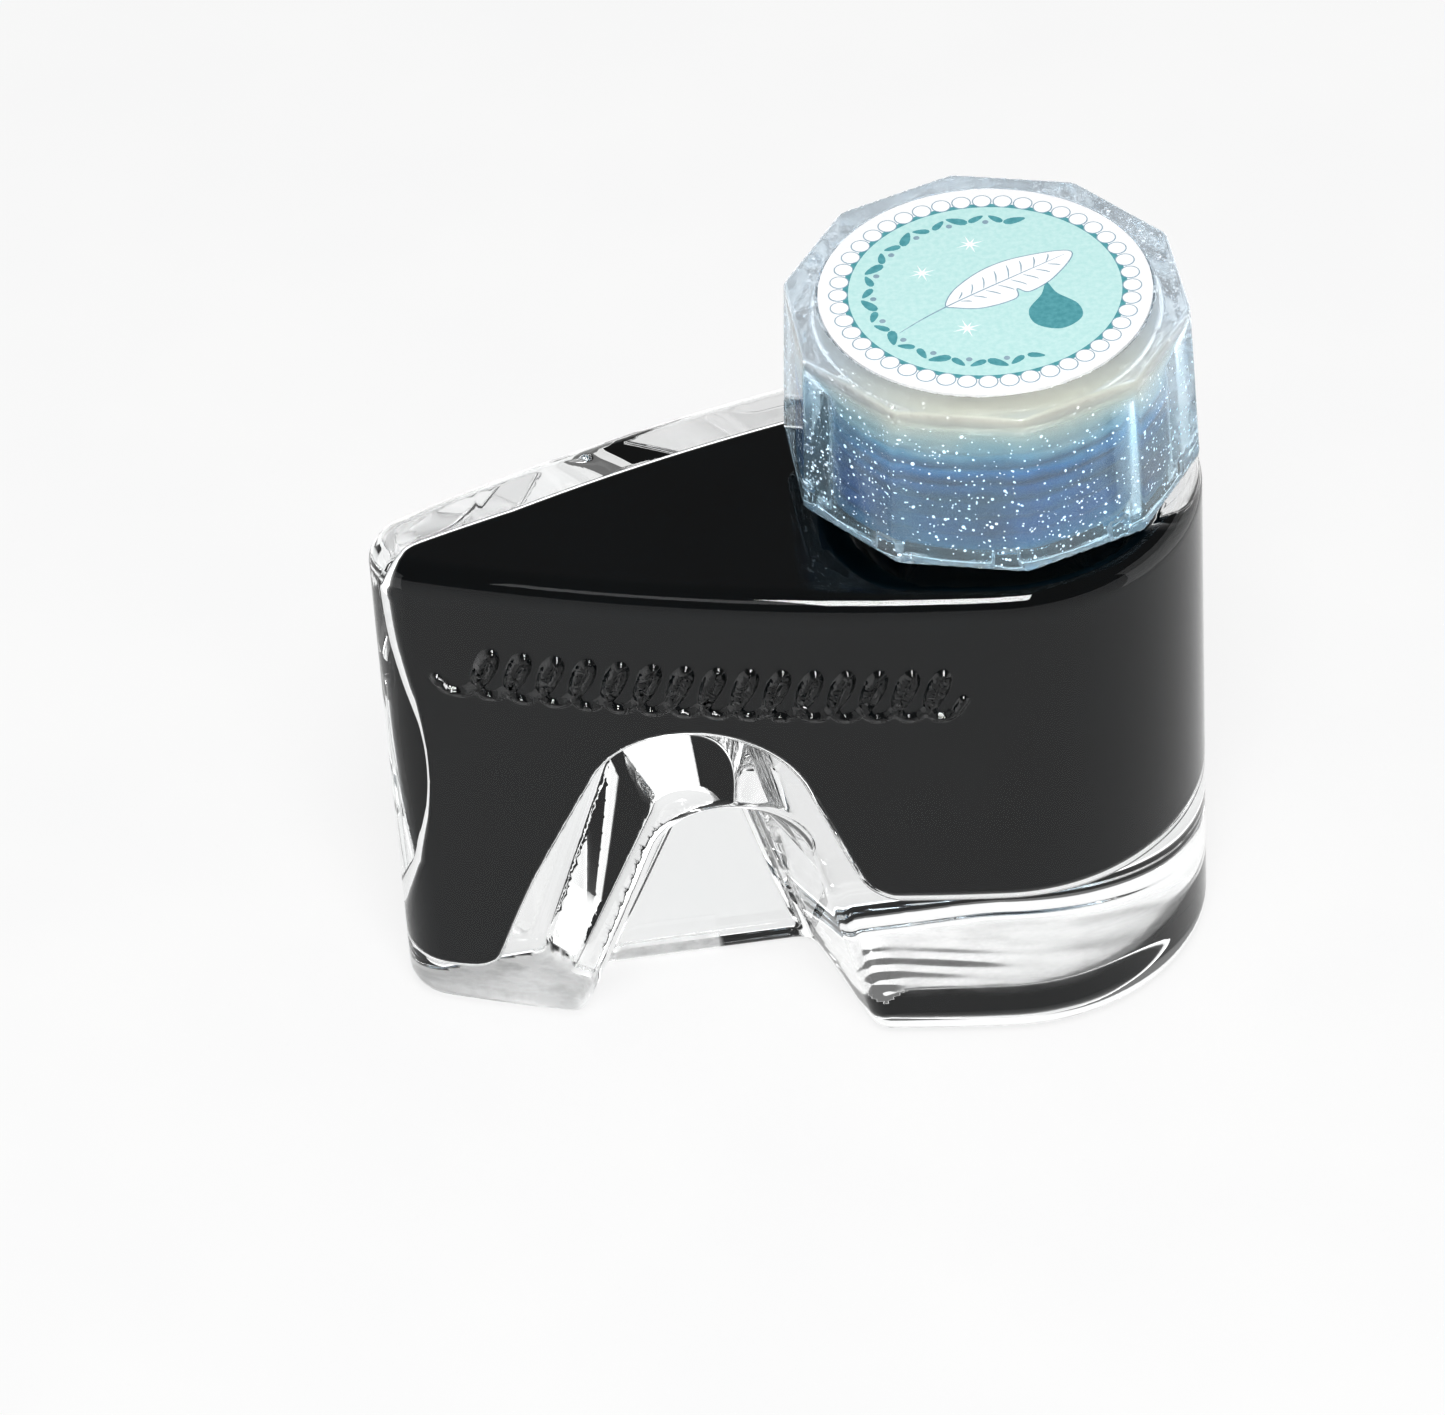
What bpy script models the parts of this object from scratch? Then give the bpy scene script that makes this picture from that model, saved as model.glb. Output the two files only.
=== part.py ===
"""Ink bottle with a screw cap.

A thick glass bottle, teardrop in plan, has an arched niche moulded into each long side, with a
solid web between the two. Its neck stands on the round end and carries a ten-sided screw cap.

Frame: metres, +Z up, origin at the bottom centre of the object's box. +X runs from the narrow
end to the round end. All named sizes below are in millimetres, and angles are in degrees.
"""
import math

import bmesh
import bpy
from mathutils import Matrix, Vector

MM = 0.001
WELD = 0.000005
OBJECT_NAME = "ink_bottle"

# Bottle body: plan outline
ROUND_RADIUS = 17.15
NARROW_RADIUS = 4.4
END_SPACING = 47.0
WALL_BOW_RADIUS = 170.0

# Bottle body: height and glass thickness
BODY_HEIGHT = 47.7
BODY_EDGE_RADIUS = 2.0
WALL = 3.0
ROOF = 3.0
FOOT_FLOOR = 3.5
ROUND_FLOOR = 13.5
CAVITY_EDGE_RADIUS = 1.0

# Niches: the arch at the web and at the outer face, and the ink's wider arch around them
ARCH_X = -7.8
WEB_HALF = 2.1
OUTER_FACE = 14.1
WEB_ARCH = {"radius": 3.2, "height": 16.4, "left_lean": 24.0, "right_lean": 15.5}
FACE_ARCH = {"radius": 7.3, "height": 18.8, "left_lean": 20.0, "right_lean": 12.0}
INK_MIDDLE_ARCH = {"radius": 6.2, "height": 18.4, "left_lean": 23.0, "right_lean": 23.0}
INK_FACE_ARCH = {"radius": 7.9, "height": 22.5, "left_lean": 23.0, "right_lean": 23.0}
INK_FACE = 9.6

# Neck and its thread
NECK_RADIUS = 10.95
NECK_ROOT_FILLET = 1.6
MOUTH_CHAMFER = 0.5
BORE_RADIUS = 8.0
PITCH = 3.175
NECK_RIDGE_RADIUS = 0.9
NECK_RIDGE_SINK = 0.8
NECK_RIDGE_START = 52.2
NECK_RIDGE_TURNS = 2.1

# Cap
CAP_SIDES = 10
CAP_CORNER_TURN = 0.6
CAP_TOP_RADIUS = 16.5
CAP_BOTTOM_RADIUS = 17.15
CAP_BOTTOM = 50.3
CAP_TOP = 65.4
CAP_WALL = 1.7
CAP_ROOF = 1.8
CAP_EDGE_RADIUS = 0.25
LUG_SIZE = (2.7, 2.2, 1.1)
LUG_MIDDLE_RADIUS = 14.55
LUG_RISE = 0.3
INSERT_RADIUS = 13.7
INSERT_WALL = 1.2
INSERT_ROOF = 1.2
INSERT_BOTTOM = 52.0
INSERT_RIDGE_RADIUS = 0.75
INSERT_RIDGE_SINK = 0.3
INSERT_RIDGE_TURNS = 1.8
LINER_RADIUS = 12.0
LINER_THICKNESS = 1.05
LABEL_RADIUS = 13.45
LABEL_OFFSET_Y = 0.5
LABEL_THICKNESS = 0.25
LABEL_RECESS = 0.35

# Clearance kept between separate pieces, and how finely round shapes are cut
GAP = 0.3
ARC_STEP = 7.5
ARCH_SEGMENTS = 10
TURNED_STEPS = 48
RIDGE_POINTS_PER_TURN = 24
CUT_MARGIN = 1.0

# Places worked out from the sizes above
CAP_X = (END_SPACING + NARROW_RADIUS - ROUND_RADIUS) / 2
NARROW_X = CAP_X - END_SPACING
INSERT_TOP = CAP_TOP - CAP_ROOF - GAP
LINER_TOP = INSERT_TOP - INSERT_ROOF - GAP
MOUTH_TOP = LINER_TOP - LINER_THICKNESS - GAP
CUT_WIDTH = ROUND_RADIUS + CUT_MARGIN


def clear_scene():
    """Remove every object that the file opened with."""
    for scene_object in list(bpy.data.objects):
        bpy.data.objects.remove(scene_object, do_unlink=True)


def new_collection(name):
    """Make a collection under the scene's own collection."""
    collection = bpy.data.collections.new(name)
    bpy.context.scene.collection.children.link(collection)
    return collection


def plastic_or_glass(name, color, roughness, transmission=0.0, ior=1.5):
    """A Principled material with the given finish."""
    material = bpy.data.materials.new(name)
    material.use_nodes = True
    shader = material.node_tree.nodes["Principled BSDF"]
    shader.inputs["Base Color"].default_value = (*color, 1.0)
    shader.inputs["Roughness"].default_value = roughness
    shader.inputs["Metallic"].default_value = 0.0
    shader.inputs["Transmission Weight"].default_value = transmission
    shader.inputs["IOR"].default_value = ior
    return material


def mesh_object(name, bm, collection):
    """Put a bmesh into a new object, with its faces pointing out."""
    bmesh.ops.remove_doubles(bm, verts=bm.verts, dist=WELD)
    bmesh.ops.recalc_face_normals(bm, faces=bm.faces)
    mesh = bpy.data.meshes.new(name)
    bm.to_mesh(mesh)
    bm.free()
    made = bpy.data.objects.new(name, mesh)
    collection.objects.link(made)
    return made


def curve_to_mesh(curve_object, collection):
    """Replace a curve object by the mesh it draws, with its caps welded on."""
    name = curve_object.name
    bpy.context.view_layer.update()
    evaluated = curve_object.evaluated_get(bpy.context.evaluated_depsgraph_get())
    drawn = bpy.data.meshes.new_from_object(evaluated)
    place = curve_object.matrix_world.copy()
    bm = bmesh.new()
    bm.from_mesh(drawn)
    bpy.data.meshes.remove(drawn)
    bpy.data.objects.remove(curve_object, do_unlink=True)
    made = mesh_object(name, bm, collection)
    made.matrix_world = place
    return made


def slab(name, outline, low, high, edge_radius, collection):
    """A flat outline with a thickness from low to high and rounded rims."""
    curve = bpy.data.curves.new(name, "CURVE")
    curve.dimensions = "2D"
    curve.fill_mode = "BOTH"
    curve.extrude = ((high - low) / 2 - edge_radius) * MM
    curve.bevel_depth = edge_radius * MM
    curve.bevel_resolution = 2
    curve.offset = -edge_radius * MM
    spline = curve.splines.new("POLY")
    spline.points.add(len(outline) - 1)
    for point, (x, y) in zip(spline.points, outline):
        point.co = (x * MM, y * MM, 0.0, 1.0)
    spline.use_cyclic_u = True
    curve_object = bpy.data.objects.new(name, curve)
    collection.objects.link(curve_object)
    curve_object.location.z = (low + high) / 2 * MM
    return curve_to_mesh(curve_object, collection)


def arc(centre, radius, start, end):
    """Points along an arc, from start to end in degrees, both ends included."""
    steps = max(2, round(abs(end - start) / ARC_STEP))
    points = []
    for step in range(steps + 1):
        angle = math.radians(start + (end - start) * step / steps)
        points.append((centre[0] + radius * math.cos(angle), centre[1] + radius * math.sin(angle)))
    return points


def bow(centre, radius, start, end, segments=8):
    """Inner points of a long shallow arc, whose ends belong to its neighbours."""
    points = []
    for step in range(1, segments):
        angle = start + (end - start) * step / segments
        points.append((centre[0] + radius * math.cos(angle), centre[1] + radius * math.sin(angle)))
    return points


def teardrop(inset):
    """The bottle's plan, moved in by inset: a round end, a narrow end and two bowed walls."""
    to_round = WALL_BOW_RADIUS - ROUND_RADIUS
    to_narrow = WALL_BOW_RADIUS - NARROW_RADIUS
    along = (to_round ** 2 - to_narrow ** 2 + END_SPACING ** 2) / (2 * END_SPACING)
    across = math.sqrt(to_round ** 2 - along ** 2)
    round_turn = math.atan2(across, along)
    narrow_turn = math.atan2(across, along - END_SPACING)
    bow_centre_x = CAP_X - along
    bow_radius = WALL_BOW_RADIUS - inset
    turn_in_degrees = math.degrees(round_turn)
    narrow_in_degrees = math.degrees(narrow_turn)
    points = arc((CAP_X, 0.0), ROUND_RADIUS - inset, -turn_in_degrees, turn_in_degrees)
    points += bow((bow_centre_x, -across), bow_radius, round_turn, narrow_turn)
    points += arc((NARROW_X, 0.0), NARROW_RADIUS - inset, narrow_in_degrees, 360 - narrow_in_degrees)
    points += bow((bow_centre_x, across), bow_radius, -narrow_turn, -round_turn)
    return points


def blend_arches(inner, outer, share):
    """The arch at a share of the way from inner to outer."""
    return {key: inner[key] + (outer[key] - inner[key]) * share for key in inner}


def arch_profile(arch, grow=0.0):
    """An (x, z) outline with a round top and leaning sides that run on below the table."""
    radius = arch["radius"] + grow
    left = math.radians(arch["left_lean"])
    right = math.radians(arch["right_lean"])
    drop = arch["height"] + CUT_MARGIN
    points = [(ARCH_X - radius / math.cos(left) - drop * math.tan(left), -CUT_MARGIN)]
    for step in range(ARCH_SEGMENTS + 1):
        angle = math.pi - left + (right + left - math.pi) * step / ARCH_SEGMENTS
        points.append((ARCH_X + radius * math.cos(angle), arch["height"] + radius * math.sin(angle)))
    points.append((ARCH_X + radius / math.cos(right) + drop * math.tan(right), -CUT_MARGIN))
    return points


def arch_loft(name, sections, collection):
    """A solid lofted through arch profiles, each given with its y."""
    bm = bmesh.new()
    rings = []
    for y, profile in sections:
        rings.append([bm.verts.new((x * MM, y * MM, z * MM)) for x, z in profile])
    count = len(rings[0])
    for near, far in zip(rings, rings[1:]):
        for index in range(count):
            after = (index + 1) % count
            bm.faces.new((near[index], near[after], far[after], far[index]))
    bm.faces.new(rings[0])
    bm.faces.new(rings[-1])
    return mesh_object(name, bm, collection)


def niche_cutter(name, side, collection):
    """The niche on one long side, from the web out past the wall. Side is -1 or +1."""
    depth = CUT_WIDTH - WEB_HALF
    share = depth / (OUTER_FACE - WEB_HALF)
    outer = blend_arches(WEB_ARCH, FACE_ARCH, share)
    sections = [(side * WEB_HALF, arch_profile(WEB_ARCH)), (side * CUT_WIDTH, arch_profile(outer))]
    return arch_loft(name, sections, collection)


def box_cutter(name, low, high, collection):
    """A box between two corners."""
    bm = bmesh.new()
    size = [(high[axis] - low[axis]) * MM for axis in range(3)]
    middle = Vector([(high[axis] + low[axis]) / 2 * MM for axis in range(3)])
    bmesh.ops.create_cube(bm, size=1.0, matrix=Matrix.Translation(middle) @ Matrix.Diagonal((*size, 1.0)))
    return mesh_object(name, bm, collection)


def round_bar(name, radius, low, high, collection, sides=TURNED_STEPS, top_radius=None, turn=0.0):
    """A cylinder, or a tapered prism, that stands on the cap's axis."""
    bm = bmesh.new()
    middle = Vector((CAP_X * MM, 0.0, (low + high) / 2 * MM))
    upper = radius if top_radius is None else top_radius
    bmesh.ops.create_cone(bm, cap_ends=True, segments=sides, radius1=radius * MM, radius2=upper * MM,
                          depth=(high - low) * MM,
                          matrix=Matrix.Translation(middle) @ Matrix.Rotation(math.radians(turn), 4, "Z"))
    return mesh_object(name, bm, collection)


def turned(name, profile, collection):
    """A profile of (radius, z) points, top to bottom on its outer side, turned about the cap's axis."""
    mesh = bpy.data.meshes.new(name)
    points = [(radius * MM, 0.0, z * MM) for radius, z in profile]
    edges = [(index, index + 1) for index in range(len(points) - 1)]
    mesh.from_pydata(points, edges, [])
    made = bpy.data.objects.new(name, mesh)
    collection.objects.link(made)
    made.location.x = CAP_X * MM
    screw = made.modifiers.new("turn", "SCREW")
    screw.steps = TURNED_STEPS
    screw.render_steps = TURNED_STEPS
    screw.use_merge_vertices = True
    screw.merge_threshold = WELD
    return made


def ridge(name, centre_radius, ridge_radius, start, turns, collection):
    """A right-hand screw ridge: a round bar along a helix, thinned towards both ends."""
    count = round(turns * RIDGE_POINTS_PER_TURN)
    run_out = RIDGE_POINTS_PER_TURN // 6
    curve = bpy.data.curves.new(name, "CURVE")
    curve.dimensions = "3D"
    curve.bevel_depth = ridge_radius * MM
    curve.bevel_resolution = 2
    curve.use_fill_caps = True
    spline = curve.splines.new("POLY")
    spline.points.add(count)
    for index, point in enumerate(spline.points):
        angle = math.tau * index / RIDGE_POINTS_PER_TURN
        height = start + PITCH * index / RIDGE_POINTS_PER_TURN
        x = CAP_X + centre_radius * math.cos(angle)
        point.co = (x * MM, centre_radius * math.sin(angle) * MM, height * MM, 1.0)
        point.radius = min(1.0, 0.35 + 0.65 * min(index, count - index) / run_out)
    curve_object = bpy.data.objects.new(name, curve)
    collection.objects.link(curve_object)
    return curve_to_mesh(curve_object, collection)


def combine(target, other, operation):
    """Join another solid to the target, or cut it away, with an exact Boolean."""
    boolean = target.modifiers.new(other.name, "BOOLEAN")
    boolean.operation = operation
    boolean.solver = "EXACT"
    boolean.object = other


def ink_space(name, clearance, collection, cutters):
    """The hollow in the glass without the neck's bore, made smaller all round by clearance."""
    space = slab(name, teardrop(WALL + clearance), FOOT_FLOOR + clearance,
                 BODY_HEIGHT - ROOF - clearance, CAVITY_EDGE_RADIUS, collection)
    share = CUT_WIDTH / INK_FACE
    wide = arch_profile(blend_arches(INK_MIDDLE_ARCH, INK_FACE_ARCH, share), clearance)
    middle = arch_profile(INK_MIDDLE_ARCH, clearance)
    sections = [(-CUT_WIDTH, wide), (0.0, middle), (CUT_WIDTH, wide)]
    combine(space, arch_loft(name + "_arch", sections, cutters), "DIFFERENCE")
    step_low = (ARCH_X, -CUT_WIDTH, -CUT_MARGIN)
    step_high = (CAP_X + CUT_WIDTH, CUT_WIDTH, ROUND_FLOOR + clearance)
    combine(space, box_cutter(name + "_step", step_low, step_high, cutters), "DIFFERENCE")
    return space


def neck_profile():
    """The neck from its mouth down to inside the roof, with a hollow fillet at its root."""
    profile = [(0.0, MOUTH_TOP), (NECK_RADIUS - MOUTH_CHAMFER, MOUTH_TOP)]
    profile.append((NECK_RADIUS, MOUTH_TOP - MOUTH_CHAMFER))
    for step in range(5):
        angle = math.radians(90.0 * step / 4)
        reach = NECK_ROOT_FILLET * (1 - math.cos(angle))
        profile.append((NECK_RADIUS + reach, BODY_HEIGHT + NECK_ROOT_FILLET * (1 - math.sin(angle))))
    buried = BODY_HEIGHT - ROOF / 2
    profile += [(NECK_RADIUS + NECK_ROOT_FILLET, buried), (0.0, buried)]
    return profile


def make_glass_bottle(parts, cutters):
    """The bottle: body, neck and thread joined, then niches and hollow cut away."""
    bottle = slab("glass_bottle", teardrop(0.0), 0.0, BODY_HEIGHT, BODY_EDGE_RADIUS, parts)
    combine(bottle, turned("neck_solid", neck_profile(), cutters), "UNION")
    thread = ridge("neck_ridge", NECK_RADIUS + NECK_RIDGE_RADIUS - NECK_RIDGE_SINK, NECK_RIDGE_RADIUS,
                   NECK_RIDGE_START, NECK_RIDGE_TURNS, cutters)
    combine(bottle, thread, "UNION")
    combine(bottle, niche_cutter("front_niche", -1, cutters), "DIFFERENCE")
    combine(bottle, niche_cutter("back_niche", 1, cutters), "DIFFERENCE")
    combine(bottle, ink_space("hollow", 0.0, cutters, cutters), "DIFFERENCE")
    bore_bottom = BODY_HEIGHT - ROOF - CUT_MARGIN
    bore = round_bar("bore", BORE_RADIUS, bore_bottom, MOUTH_TOP + CUT_MARGIN, cutters)
    combine(bottle, bore, "DIFFERENCE")
    return bottle


def make_cap_shell(parts, cutters):
    """The ten-sided outer cap, hollow from below, with a lug in each bottom corner."""
    shell = round_bar("cap_shell", CAP_BOTTOM_RADIUS, CAP_BOTTOM, CAP_TOP, parts, CAP_SIDES,
                      CAP_TOP_RADIUS, CAP_CORNER_TURN)
    bevel = shell.modifiers.new("edges", "BEVEL")
    bevel.width = CAP_EDGE_RADIUS * MM
    bevel.segments = 2
    bevel.limit_method = "ANGLE"
    bevel.angle_limit = math.radians(25.0)
    taper = (CAP_BOTTOM_RADIUS - CAP_TOP_RADIUS) / (CAP_TOP - CAP_BOTTOM)
    hollow_bottom = CAP_BOTTOM - CUT_MARGIN
    hollow_top = CAP_TOP - CAP_ROOF
    hollow = round_bar("cap_hollow", CAP_BOTTOM_RADIUS - CAP_WALL + taper * CUT_MARGIN, hollow_bottom,
                       hollow_top, cutters, CAP_SIDES, CAP_TOP_RADIUS - CAP_WALL + taper * CAP_ROOF,
                       CAP_CORNER_TURN)
    combine(shell, hollow, "DIFFERENCE")
    recess = round_bar("label_recess", LABEL_RADIUS + GAP, CAP_TOP - LABEL_RECESS, CAP_TOP + CUT_MARGIN,
                       cutters)
    recess.location.y = LABEL_OFFSET_Y * MM
    combine(shell, recess, "DIFFERENCE")
    combine(shell, corner_lugs(cutters), "UNION")
    return shell


def corner_lugs(cutters):
    """One block in each inner corner of the cap's rim, which holds the insert up."""
    bm = bmesh.new()
    height = (CAP_BOTTOM + LUG_RISE + LUG_SIZE[2] / 2) * MM
    size = Matrix.Diagonal((LUG_SIZE[0] * MM, LUG_SIZE[1] * MM, LUG_SIZE[2] * MM, 1.0))
    for corner in range(CAP_SIDES):
        turn = math.radians(CAP_CORNER_TURN + (corner + 0.5) * 360 / CAP_SIDES)
        place = Matrix.Translation((CAP_X * MM, 0.0, height)) @ Matrix.Rotation(turn, 4, "Z")
        out = Matrix.Translation((LUG_MIDDLE_RADIUS * MM, 0.0, 0.0))
        bmesh.ops.create_cube(bm, size=1.0, matrix=place @ out @ size)
    return mesh_object("corner_lugs", bm, cutters)


def make_cap_insert(parts, cutters):
    """The threaded cup inside the shell, open at the bottom."""
    root = INSERT_RADIUS - INSERT_WALL
    ceiling = INSERT_TOP - INSERT_ROOF
    chamfer = INSERT_WALL / 3
    profile = [(0.0, INSERT_TOP), (INSERT_RADIUS - chamfer, INSERT_TOP)]
    profile += [(INSERT_RADIUS, INSERT_TOP - chamfer), (INSERT_RADIUS, INSERT_BOTTOM)]
    profile += [(root, INSERT_BOTTOM), (root, ceiling), (0.0, ceiling)]
    insert = turned("cap_insert", profile, parts)
    thread = ridge("insert_ridge", root - INSERT_RIDGE_SINK, INSERT_RIDGE_RADIUS,
                   NECK_RIDGE_START + PITCH / 2, INSERT_RIDGE_TURNS, cutters)
    combine(insert, thread, "UNION")
    return insert


def make_liner(parts):
    """The soft disc that seals on the mouth."""
    return round_bar("sealing_liner", LINER_RADIUS, LINER_TOP - LINER_THICKNESS, LINER_TOP, parts)


def make_label(parts):
    """The round printed disc in the cap's recess."""
    low = CAP_TOP - LABEL_RECESS + GAP
    label = round_bar("round_label", LABEL_RADIUS, low, low + LABEL_THICKNESS, parts)
    label.location.y = LABEL_OFFSET_Y * MM
    return label


def place_origin(part, x, y, z):
    """Move a part's origin to a world place without moving its shape."""
    shift = Vector((x, y, z)) * MM - part.location
    part.data.transform(Matrix.Translation(-shift))
    part.location += shift


def finish(part, material):
    """Give a part its material and smooth shading that keeps its sharp edges."""
    part.data.materials.append(material)
    part.data.shade_smooth()
    part.data.set_sharp_from_angle(angle=math.radians(30.0))


def main():
    clear_scene()
    parts = new_collection(OBJECT_NAME)
    cutters = new_collection("cutters")
    clear_glass = plastic_or_glass("clear_glass", (0.98, 0.99, 0.98), 0.02, 1.0, 1.52)
    dark_ink = plastic_or_glass("dark_ink", (0.004, 0.012, 0.016), 0.05)
    glitter_plastic = plastic_or_glass("glitter_plastic", (0.56, 0.68, 0.80), 0.15, 0.6, 1.49)
    insert_plastic = plastic_or_glass("insert_plastic", (0.38, 0.55, 0.72), 0.3, 0.5, 1.49)
    white_foam = plastic_or_glass("white_foam", (0.86, 0.87, 0.84), 0.6)
    printed_mint = plastic_or_glass("printed_mint", (0.50, 0.80, 0.77), 0.35)

    finish(make_glass_bottle(parts, cutters), clear_glass)
    finish(ink_space("ink", GAP, parts, cutters), dark_ink)
    moving = [(make_cap_shell(parts, cutters), glitter_plastic)]
    moving.append((make_cap_insert(parts, cutters), insert_plastic))
    moving.append((make_liner(parts), white_foam))
    moving.append((make_label(parts), printed_mint))
    for part, material in moving:
        place_origin(part, CAP_X, 0.0, CAP_BOTTOM)
        finish(part, material)
    for cutter in cutters.objects:
        cutter.hide_render = True
        cutter.display_type = "WIRE"


main()
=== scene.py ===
import math

import bmesh
import bpy
import numpy as np
from mathutils import Matrix, Vector


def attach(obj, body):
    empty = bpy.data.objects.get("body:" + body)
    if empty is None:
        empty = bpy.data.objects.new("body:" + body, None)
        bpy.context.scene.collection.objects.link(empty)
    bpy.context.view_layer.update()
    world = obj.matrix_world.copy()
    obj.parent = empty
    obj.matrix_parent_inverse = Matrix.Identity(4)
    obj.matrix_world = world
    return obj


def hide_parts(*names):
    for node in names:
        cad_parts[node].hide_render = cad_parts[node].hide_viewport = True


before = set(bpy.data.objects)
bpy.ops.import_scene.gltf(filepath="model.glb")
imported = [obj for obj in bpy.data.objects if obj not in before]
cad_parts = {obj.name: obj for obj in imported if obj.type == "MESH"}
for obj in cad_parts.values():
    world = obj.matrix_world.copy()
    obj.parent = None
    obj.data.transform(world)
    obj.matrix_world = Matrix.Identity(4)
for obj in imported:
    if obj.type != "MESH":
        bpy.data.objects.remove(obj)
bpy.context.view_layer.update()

MM = 0.001

# Body of the bottle, in millimetres. The cap's axis is at CAP_X, and Y is across the bottle.
CAP_X = 17.125
ROUND_RADIUS = 17.149
NARROW_RADIUS = 4.4
END_SPACING = 47.0
NARROW_X = CAP_X - END_SPACING
WALL_BOW_RADIUS = 170.0
BODY_HEIGHT = 47.7
BODY_EDGE_RADIUS = 2.0
WALL = 3.0
ROOF = 3.0
FOOT_FLOOR = 3.4
ROUND_FLOOR = 12.8

# Niches and the ink's arch around them: radius, height of the centre, lean of each side in degrees
ARCH_X = -7.8
WEB_HALF = 2.1
OUTER_FACE = 14.1
NICHE_EDGE = 1.1
NICHE_CORNER = 1.3
WEB_ARCH = (3.2, 16.4, 24.0, 15.5)
FACE_ARCH = (7.3, 18.8, 20.0, 12.0)
INK_MIDDLE_ARCH = (12.0, 22.0, 19.0, 20.0)
INK_FACE_ARCH = (7.9, 22.5, 23.0, 23.0)
INK_FACE = 9.6

# Round foot, which starts FOOT_EDGE past the arch's middle, and the dome under it
FOOT_EDGE = 6.2
DOME_HEIGHT = 0.8
DOME_EDGE = 3.1
DOME_SLOPE = 7.0
DOME_MARGIN = 0.3

# Neck and its screw thread
NECK_RADIUS = 10.95
NECK_ROOT = BODY_HEIGHT - 4.0
MOUTH_TOP = 60.45
BORE_RADIUS = 8.0
BORE_LOW = BODY_HEIGHT - ROOF - 3.0
PITCH = 3.175
RIDGE_RADIUS = 0.9
RIDGE_START = 52.2
RIDGE_TURNS = 2.1
RIDGE_FADE = 0.17
FAR_OFF = 9.0

INK_LEVEL = 45.2
INK_OVERLAP = 0.04

# Grid steps of the meshes
GLASS_STEP = 0.54
INK_STEP = 0.5
CAP_STEP = 0.42


# ---------------------------------------------------------------- distance fields, in millimetres

# Fields that lean or taper are scaled a little below 1, to stay near true distance.

def both(a, b, radius):
    """Where a and b overlap, with the edge between them rounded off."""
    a = a + radius
    b = b + radius
    return np.minimum(np.maximum(a, b), 0) + np.hypot(np.maximum(a, 0), np.maximum(b, 0)) - radius


def either(a, b, radius):
    """a joined to b, with a fillet between them."""
    return -both(-a, -b, radius)


def without(a, b, radius):
    """a with b cut away, and the edge of the cut rounded off."""
    return both(a, -b, radius)


def plan(x, y):
    """Distance from the teardrop outline, negative inside."""
    to_round = WALL_BOW_RADIUS - ROUND_RADIUS
    to_narrow = WALL_BOW_RADIUS - NARROW_RADIUS
    along = (to_round ** 2 - to_narrow ** 2 + END_SPACING ** 2) / (2 * END_SPACING)
    across = math.sqrt(to_round ** 2 - along ** 2)
    centre_x = CAP_X - along
    y = np.abs(y)
    round_way = (along / to_round, across / to_round)
    narrow_way = ((along - END_SPACING) / to_narrow, across / to_narrow)
    px = x - centre_x
    py = y + across
    bow = np.hypot(px, py) - WALL_BOW_RADIUS
    past_round = round_way[0] * py - round_way[1] * px < 0
    past_narrow = narrow_way[0] * py - narrow_way[1] * px > 0
    distance = np.where(past_round, np.hypot(x - CAP_X, y) - ROUND_RADIUS, bow)
    return np.where(past_narrow, np.hypot(x - NARROW_X, y) - NARROW_RADIUS, distance)


def arch(x, z, inner, outer, share):
    """Distance from an arch whose sizes run from inner to outer by share."""
    radius, height, left, right = [a + (b - a) * share for a, b in zip(inner, outer)]
    left = np.radians(left)
    right = np.radians(right)
    px = x - ARCH_X
    pz = z - height
    on_left = -px * np.cos(left) + pz * np.sin(left)
    on_right = px * np.cos(right) + pz * np.sin(right)
    over_left = -np.cos(left) * pz - np.sin(left) * px <= 0
    over_right = np.cos(right) * pz - np.sin(right) * px >= 0
    crown = np.hypot(px, pz)
    return np.where(over_left & over_right, crown, np.maximum(on_left, on_right)) - radius


def niche(x, y, z):
    """The hollow moulded into each long side."""
    depth = np.abs(y)
    share = np.maximum(depth - WEB_HALF, 0) / (OUTER_FACE - WEB_HALF)
    side = arch(x, z, WEB_ARCH, FACE_ARCH, share) * 0.96
    return both(side, WEB_HALF - depth, NICHE_CORNER)


def ink_arch(x, y, z):
    """The wider arch of glass over the niches."""
    return arch(x, z, INK_MIDDLE_ARCH, INK_FACE_ARCH, np.abs(y) / INK_FACE) * 0.96


def ridge(around, turn, z, centre_radius, radius, start, turns, laps):
    """A round helical ridge that fades out at both ends."""
    best = np.full(np.broadcast(around, z).shape, FAR_OFF)
    for lap in range(laps):
        done = turn + lap
        rise = start + PITCH * done
        taper = np.clip(np.minimum(done, turns - done) / RIDGE_FADE, 0.0, 1.0)
        size = radius * taper - 1.2 * (1 - taper)
        best = np.minimum(best, np.hypot(around - centre_radius, z - rise) - size)
    return best


def cap_polar(x, y):
    """Distance from the cap's axis, and turns round it."""
    px = x - CAP_X
    return np.hypot(px, y), np.arctan2(y, px) / math.tau


def foot_inset(x, y):
    """How far a point lies in from the edge of the round foot."""
    return np.minimum(-plan(x, y), x - ARCH_X - FOOT_EDGE)


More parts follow.
